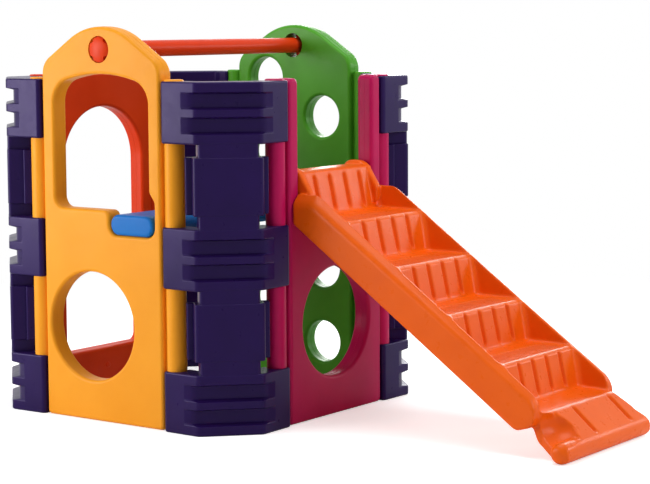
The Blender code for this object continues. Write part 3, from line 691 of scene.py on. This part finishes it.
def pocket(k):
    """Cuts one step: a box with drafted sides whose back is the riser and whose base is the tread."""
    top, foot, front = nose(k), riser_foot(k), nose(k + 1)
    if k == last_step:
        front = Vector((lip[0], 0, lip[1]))
    up = (top - foot).normalized()
    out = (front - foot).normalized()
    corners = [top + up * pocket_overrun_up, foot, front + out * pocket_overrun_out]
    corners.append(Vector((corners[2].x, 0, corners[0].z)))
    widths = [pocket_half_width - pocket_draft * (rim(corner.x) - corner.z) for corner in corners]
    rows = []
    for side in (-1, 1):
        rows.append([corner + Vector((0, side * width, 0)) for corner, width in zip(corners, widths)])
    shape = bmesh.new()
    riser_sides = [loop[0] for loop in strung(shape, rows)]
    bmesh.ops.recalc_face_normals(shape, faces=shape.faces[:])
    bmesh.ops.bevel(
        shape, geom=riser_sides, offset=riser_corner_round, segments=6, profile=0.5, affect="EDGES",
        material=-1)
    tread_up = Vector((-out.z, 0, out.x))
    tread_rim = [
        edge for edge in shape.edges if edge.calc_face_angle(0) > 0.5
        and all((vert.co - foot).dot(tread_up) < 0.002 and vert.co.x < front.x + 0.2 for vert in edge.verts)]
    bmesh.ops.bevel(
        shape, geom=tread_rim, offset=tread_corner_round, segments=4, profile=0.5, affect="EDGES",
        material=-1)
    return as_piece("pocket", shape, about_tower(0))


riser_groove_sides = (-0.117, -0.039, 0.039, 0.117)
riser_groove_width = 0.020
riser_groove_depth = 0.012
riser_groove_top = 0.004
riser_groove_foot = 0.010
tread_groove_pitch = 0.018
tread_groove_sides = [tread_groove_pitch * k for k in range(-9, 10)]
tread_groove_width = 0.012
tread_groove_depth = 0.006
tread_groove_back = 0.050
tread_groove_front = 0.014

# A groove's section as shares of its width and depth, and the share of the depth left at its ends
groove_section = ((-0.5, 0.2), (-0.22, -1.0), (0.22, -1.0), (0.5, 0.2), (0.5, 1.2), (-0.5, 1.2))
groove_end_share = 0.4


def grooves(start, stop, sides, width, depth):
    """Grooves between two points of a face, one at each place across the ramp, as one cutter."""
    along = (stop - start).normalized()
    outward = Vector((-along.z, 0, along.x))
    level = outward.cross(along)
    ends = (
        (start, groove_end_share), (start + along * depth, 1.0), (stop - along * depth, 1.0),
        (stop, groove_end_share))
    comb = bmesh.new()
    for across in sides:
        rows = []
        for end, share in ends:
            middle = end + Vector((0, across, 0))
            rows.append([
                middle + level * reach * width + outward * rise * depth * (share if rise < 0 else 1.0)
                for reach, rise in groove_section])
        strung(comb, rows)
    bmesh.ops.recalc_face_normals(comb, faces=comb.faces[:])
    return as_piece("grooves", comb, about_tower(0))


def riser_grooves(k):
    top, foot = nose(k), riser_foot(k)
    down = (foot - top).normalized()
    return grooves(
        top + down * riser_groove_top, foot - down * riser_groove_foot, riser_groove_sides,
        riser_groove_width, riser_groove_depth)


def tread_grooves(k):
    """Fine grooves that make the front of a tread less slippery."""
    foot, front = riser_foot(k), nose(k + 1)
    out = (front - foot).normalized()
    return grooves(
        foot + out * tread_groove_back, front - out * tread_groove_front, tread_groove_sides,
        tread_groove_width, tread_groove_depth)


chamfer_down = 0.008
chamfer_back = 0.009
chamfer_overrun = 0.03
chamfer_half_width = 0.190


def nose_chamfer(k):
    """Takes the sharp edge off a nose, so that it melts into a round one."""
    top = nose(k)
    down = (riser_foot(k) - top).normalized()
    low_edge = top + down * chamfer_down
    high_edge = top + Vector((-1, 0, 0.02)) * chamfer_back
    corners = [low_edge, high_edge, high_edge + Vector((0, 0, chamfer_overrun)),
               low_edge + Vector((chamfer_overrun, 0, 0))]
    ends = [Vector((0, side * chamfer_half_width, 0)) for side in (-1, 1)]
    shape = bmesh.new()
    strung(shape, [[corner + end for corner in corners] for end in ends])
    bmesh.ops.recalc_face_normals(shape, faces=shape.faces[:])
    return as_piece("chamfer", shape, about_tower(0))


# The hook's block fills the opening above the sill, with a leg behind the panel and a cheek at each end
hook_back = 0.4175
hook_base = 0.640
hook_front = 0.560
hook_top = 0.773
hook_half_width = 0.1884
hook_width = 0.40
cheek_front = 0.552
cheek_top = hook_top + 0.012
cheek_width = 0.0275
cheek_inset = 0.014
leg_front = 0.4525
leg_base = 0.590
leg_top = 0.720
fill_base = 0.6526
fill_top = 0.820
fill_back = 0.40
fill_front = 0.60
opening_fill = [
    (-hook_half_width, fill_base, 0.034), (hook_half_width, fill_base, 0.034),
    (hook_half_width, fill_top, 0.010), (-hook_half_width, fill_top, 0.010)]
hook_side = [
    (hook_back, hook_base, 0), (hook_front, hook_base, 0), (hook_front, hook_top - 0.066, 0.010),
    (0.512, hook_top, 0.045), (hook_back, hook_top, 0.034)]
cheek_side = [
    (hook_back, hook_base, 0), (cheek_front, hook_base, 0), (cheek_front, 0.706, 0.020),
    (0.500, cheek_top, 0.050), (hook_back, cheek_top, 0.034)]
leg_side = [
    (hook_back, leg_base, 0.012), (leg_front, leg_base, 0.012), (leg_front, leg_top, 0),
    (hook_back, leg_top, 0)]


def in_opening(name, side, width, roll, place):
    """A plate drawn from the side and trimmed to the stair panel's opening."""
    fill = as_piece("fill", lofted([(fill_back, opening_fill), (fill_front, opening_fill)]), along_ramp)
    return worked(as_piece(name, plate(side, [], width, roll), place), "INTERSECT", [fill])


across_ramp = upright(0, 0)
hook = in_opening("hook", hook_side, hook_width, 0.002, across_ramp)
cheeks = []
for side in (-1, 1):
    place = across_ramp @ Matrix.Translation((0, 0, side * (hook_half_width - cheek_inset)))
    cheeks.append(in_opening("cheek", cheek_side, cheek_width, 0.008, place))
leg = as_piece("leg", plate(leg_side, [], 2 * hook_half_width, 0.008), across_ramp)

worked(hook, "DIFFERENCE", [pocket(-1), riser_grooves(-1)])
worked(ramp, "DIFFERENCE", [pocket(k) for k in range(-1, last_step + 1)])
worked(ramp, "DIFFERENCE", [nose_chamfer(k) for k in range(last_step + 1)])
worked(ramp, "DIFFERENCE", [riser_grooves(k) for k in range(-1, last_step + 1)])
worked(ramp, "DIFFERENCE", [tread_grooves(k) for k in range(-1, last_step)])

# The foot slopes from the lip down to the roll, widens forwards and is scooped out at both sides
toe = (1.479, 0.048)
ground_gap = 0.0015
foot_width = 0.40
foot_flare = 2.6
foot_groove_start = 0.006
foot_groove_end = 0.108
foot_groove_sides = (-0.157, -0.054, 0.157)
roll_centre = (1.449, 0.030)
roll_radius = 0.030
roll_half_length = 0.258
roll_end_round = 0.022
foot_side = [
    (1.300, 0.132, 0), (1.300, 0.100, 0), (1.335, 0.084, 0.020), (1.352, 0.042, 0.045),
    (1.406, 0.007, 0.020), (1.440, ground_gap, 0), (toe[0], ground_gap, 0.024), (*toe, 0.040),
    (*lip, 0.030)]
near_scoop = ((1.432, -0.236, 0.100), (0.076, 0.104, 0.062))
far_scoop = ((1.428, 0.296, 0.092), (0.070, 0.075, 0.055))
foot = as_piece("foot", plate(foot_side, [], foot_width, 0.006), across_ramp)
for vert in foot.data.vertices:
    vert.co.y *= 1 + foot_flare * max(0.0, vert.co.x - tower_axis - lip[0])
scoops = []
for middle, reach in (near_scoop, far_scoop):
    shape = bmesh.new()
    bmesh.ops.create_uvsphere(shape, u_segments=48, v_segments=24, radius=1)
    bmesh.ops.scale(shape, vec=reach, verts=shape.verts[:])
    scoops.append(as_piece("scoop", shape, about_tower(0) @ Matrix.Translation(middle)))
lip_point = Vector((lip[0], 0, lip[1]))
down = (Vector((toe[0], 0, toe[1])) - lip_point).normalized()
scoops.append(grooves(
    lip_point + down * foot_groove_start, lip_point + down * foot_groove_end, foot_groove_sides,
    riser_groove_width, riser_groove_depth))
worked(foot, "DIFFERENCE", scoops)
roll_place = across_ramp @ Matrix.Translation((*roll_centre, 0))
roll = as_piece("roll", rod(roll_radius, 2 * roll_half_length, roll_end_round), roll_place)

skin_voxel = 0.0034
skin_share_kept = 0.49
melted = bmesh.new()
melted.from_mesh(ramp.data)
for part in [hook, leg, foot, roll] + cheeks:
    melted.from_mesh(part.data)
    bpy.data.objects.remove(part, do_unlink=True)
melted.to_mesh(ramp.data)
melted.free()
skin = ramp.modifiers.new("Skin", "REMESH")
skin.mode = "VOXEL"
skin.voxel_size = skin_voxel
soft = ramp.modifiers.new("Soft", "SMOOTH")
soft.factor = 0.5
soft.iterations = 4
thin = ramp.modifiers.new("Thin", "DECIMATE")
thin.ratio = skin_share_kept
settled(ramp)
orange = polyethylene("orange", "EE620C", "E85C08", 0.30, 0.17)
finished(ramp, orange, "ramp", "stepped_ramp")

# Floor
# A plain pale floor that keeps the tower's soft shadow and fades into the white background.

floor_size = 40
floor_lift = 0.50
fade_start = 1.5
fade_end = 3.5
shape = bmesh.new()
bmesh.ops.create_grid(shape, x_segments=4, y_segments=4, size=floor_size)
floor = as_piece("floor", shape, Matrix())
paint = bpy.data.materials.new("matt_white_floor")
paint.use_nodes = True
tree = paint.node_tree
matt = tree.nodes["Principled BSDF"]
matt.inputs["Base Color"].default_value = colour("F6F6F6")
matt.inputs["Roughness"].default_value = 0.9
matt.inputs["Specular IOR Level"].default_value = 0.1
spots = added(tree, "ShaderNodeTexCoord", {})
reach = added(tree, "ShaderNodeVectorMath", {0: spots.outputs["Object"]}, operation="LENGTH")
far = added(
    tree, "ShaderNodeMapRange",
    {"Value": reach.outputs["Value"], "From Min": fade_start, "From Max": fade_end},
    interpolation_type="SMOOTHSTEP")
seen = added(tree, "ShaderNodeLightPath", {})
none = added(tree, "ShaderNodeEmission", {"Color": (0, 0, 0, 1), "Strength": 0.0})
glow = added(tree, "ShaderNodeEmission", {"Color": (1, 1, 1, 1), "Strength": floor_lift})
lift = added(
    tree, "ShaderNodeMixShader", {0: seen.outputs["Is Camera Ray"], 1: none.outputs[0], 2: glow.outputs[0]})
near = added(tree, "ShaderNodeAddShader", {0: matt.outputs[0], 1: lift.outputs[0]})
white = added(tree, "ShaderNodeEmission", {"Color": (1, 1, 1, 1), "Strength": 1.0})
shown = added(
    tree, "ShaderNodeMath", {0: seen.outputs["Is Camera Ray"], 1: seen.outputs["Is Glossy Ray"]},
    operation="MAXIMUM")
fade = added(tree, "ShaderNodeMath", {0: far.outputs["Result"], 1: shown.outputs[0]}, operation="MULTIPLY")
whole = added(tree, "ShaderNodeMixShader", {0: fade.outputs[0], 1: near.outputs[0], 2: white.outputs[0]})
tree.links.new(whole.outputs[0], tree.nodes["Material Output"].inputs["Surface"])
floor.data.materials.append(paint)

# Light
# A white room with soft boxes: a tall one at the left, a second one far off in front, one overhead for the
# treads, two at the right, and a wide one behind that picks out the noses and top edges.

room_level = 0.20
world = bpy.data.worlds.new("white_room")
bpy.context.scene.world = world
world.use_nodes = True
tree = world.node_tree
plain = tree.nodes["Background"]
plain.inputs["Color"].default_value = (1, 1, 1, 1)
plain.inputs["Strength"].default_value = room_level
seen = added(tree, "ShaderNodeLightPath", {})
white = added(tree, "ShaderNodeBackground", {"Color": (1, 1, 1, 1), "Strength": 1.0})
direct = added(
    tree, "ShaderNodeMath", {0: seen.outputs["Is Camera Ray"], 1: seen.outputs["Is Glossy Ray"]},
    operation="MAXIMUM")
shown = added(
    tree, "ShaderNodeMath", {0: direct.outputs[0], 1: seen.outputs["Is Transmission Ray"]},
    operation="MAXIMUM")
mixed = added(tree, "ShaderNodeMixShader", {0: shown.outputs[0], 1: plain.outputs[0], 2: white.outputs[0]})
tree.links.new(mixed.outputs[0], tree.nodes["World Output"].inputs["Surface"])


def soft_box(name, place, aim, size, power):
    lamp = bpy.data.lights.new(name, "AREA")
    lamp.shape = "RECTANGLE"
    lamp.size, lamp.size_y = size
    lamp.energy = power
    stand = bpy.data.objects.new(name, lamp)
    stand.location = place
    stand.rotation_euler = (Vector(aim) - Vector(place)).to_track_quat("-Z", "Y").to_euler()
    bpy.context.collection.objects.link(stand)


soft_box("near_left_box", (-2.5, -2.4, 1.15), (-0.3, -0.3, 0.6), (1.2, 1.8), 52)
soft_box("far_left_box", (-2.7, -5.4, 2.0), (0.2, 0, 0.5), (1.8, 1.8), 69)
soft_box("overhead_box", (0.2, -0.4, 4.2), (0, 0, 0), (2.4, 2.4), 80)
soft_box("right_box", (3.6, 0.3, 2.2), (0, 0, 0.6), (1.4, 1.8), 52)
soft_box("back_right_box", (3.0, 4.2, 2.0), (0.2, 0, 0.6), (1.4, 1.2), 34)
soft_box("back_box", (-1.5, 4.1, 1.9), (0.3, 0, 0.5), (2.9, 1.5), 105)

# Camera
# About 1.2 m above the ground, in front of the tower and to its right, with a long lens.

camera_place = (3.64709, -4.96713, 1.23596)
yaw = radians(34.9728)
pitch = radians(5.6977)
tilt = radians(-0.1908)
forward = Vector((-sin(yaw) * cos(pitch), cos(yaw) * cos(pitch), -sin(pitch)))
right = Vector((cos(yaw), sin(yaw), 0))
upward = right.cross(forward)
tilted_right = right * cos(tilt) + upward * sin(tilt)
tilted_up = upward * cos(tilt) - right * sin(tilt)
lens = bpy.data.cameras.new("camera")
lens.sensor_fit = "HORIZONTAL"
lens.sensor_width = 36
lens.lens = 110.0088
lens.shift_x = -0.0734308
lens.shift_y = -0.0408308
camera = bpy.data.objects.new("camera", lens)
aimed = Matrix((tilted_right, tilted_up, -forward)).transposed().to_4x4()
camera.matrix_world = Matrix.Translation(camera_place) @ aimed
bpy.context.collection.objects.link(camera)
bpy.context.scene.camera = camera
bpy.context.scene.view_settings.view_transform = "Standard"
